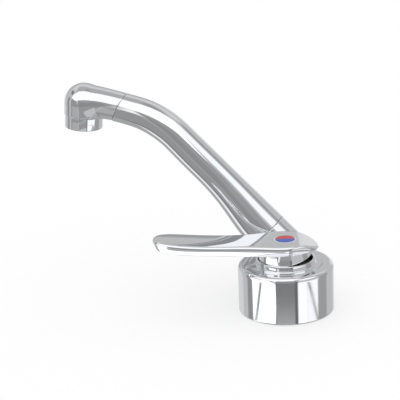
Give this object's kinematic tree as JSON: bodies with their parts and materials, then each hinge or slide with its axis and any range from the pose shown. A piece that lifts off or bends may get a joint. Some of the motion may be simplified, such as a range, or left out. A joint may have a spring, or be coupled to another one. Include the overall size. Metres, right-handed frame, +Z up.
{
  "type": "single-lever mixer tap",
  "caption": "Low kitchen mixer tap with a round base, one long lever and a tubular spout that swivels beside it.",
  "frame": {"origin": "centre of the round base's underside, on the deck", "axes": "+Z up along the swivel axis; -X towards the lever's tip; +Y towards the hot side, where the spout stands"},
  "size_m": [0.1524, 0.1051, 0.1208],
  "materials": {
    "chrome_plate": "polished chromium plate on brass",
    "brass": "machined",
    "steel": "turned",
    "stem_metal": "machined",
    "nylon": "moulded",
    "ceramic": "polished alumina",
    "seal_rubber": "black rubber",
    "cap_plastic": "glossy pale plastic",
    "red_plastic": "glossy red",
    "blue_plastic": "glossy blue"
  },
  "bodies": {
    "base": {"valve_body": "brass", "glide_ring": "nylon", "swivel_seals": "seal_rubber", "deck_gasket": "seal_rubber", "cover_ring": "chrome_plate", "cartridge_housing": "nylon", "port_seals": "seal_rubber", "fixed_disc": "ceramic", "retaining_nut": "brass"},
    "spout": {"body_shell": "chrome_plate", "spout_tube": "chrome_plate", "spout_head": "chrome_plate", "spigot_seal": "seal_rubber", "aerator_housing": "chrome_plate", "aerator_insert": "nylon", "aerator_washer": "seal_rubber"},
    "turning core": {"turning_core": "nylon", "pivot_pin": "steel"},
    "moving disc": {"sliding_disc": "ceramic", "disc_carrier": "nylon"},
    "lever": {"lever_handle": "chrome_plate", "stem": "stem_metal", "handle_screw": "steel", "indicator_cap": "cap_plastic", "hot_mark": "red_plastic", "cold_mark": "blue_plastic"}
  },
  "joints": [
    {"name": "spout_swivel", "type": "hinge", "parent": "base", "child": "spout", "pos_m": [0, 0, 0], "axis": [0, 0, 1], "range_deg": [-100, 0]},
    {"name": "temperature_turn", "type": "hinge", "parent": "base", "child": "turning core", "pos_m": [0, 0, 0.029], "axis": [0, 0, 1], "range_deg": [-25, 25]},
    {"name": "lever_lift", "type": "hinge", "parent": "turning core", "child": "lever", "pos_m": [0, 0, 0.029], "axis": [0, 1, 0], "range_deg": [0, 15]},
    {"name": "disc_slide", "type": "slide", "parent": "turning core", "child": "moving disc", "axis": [-1, 0, 0], "range_m": [0, 0.0029]}
  ],
  "couplings": [
    {"joint": "disc_slide", "follows": "lever_lift", "m_per_rad": 0.0104}
  ]
}
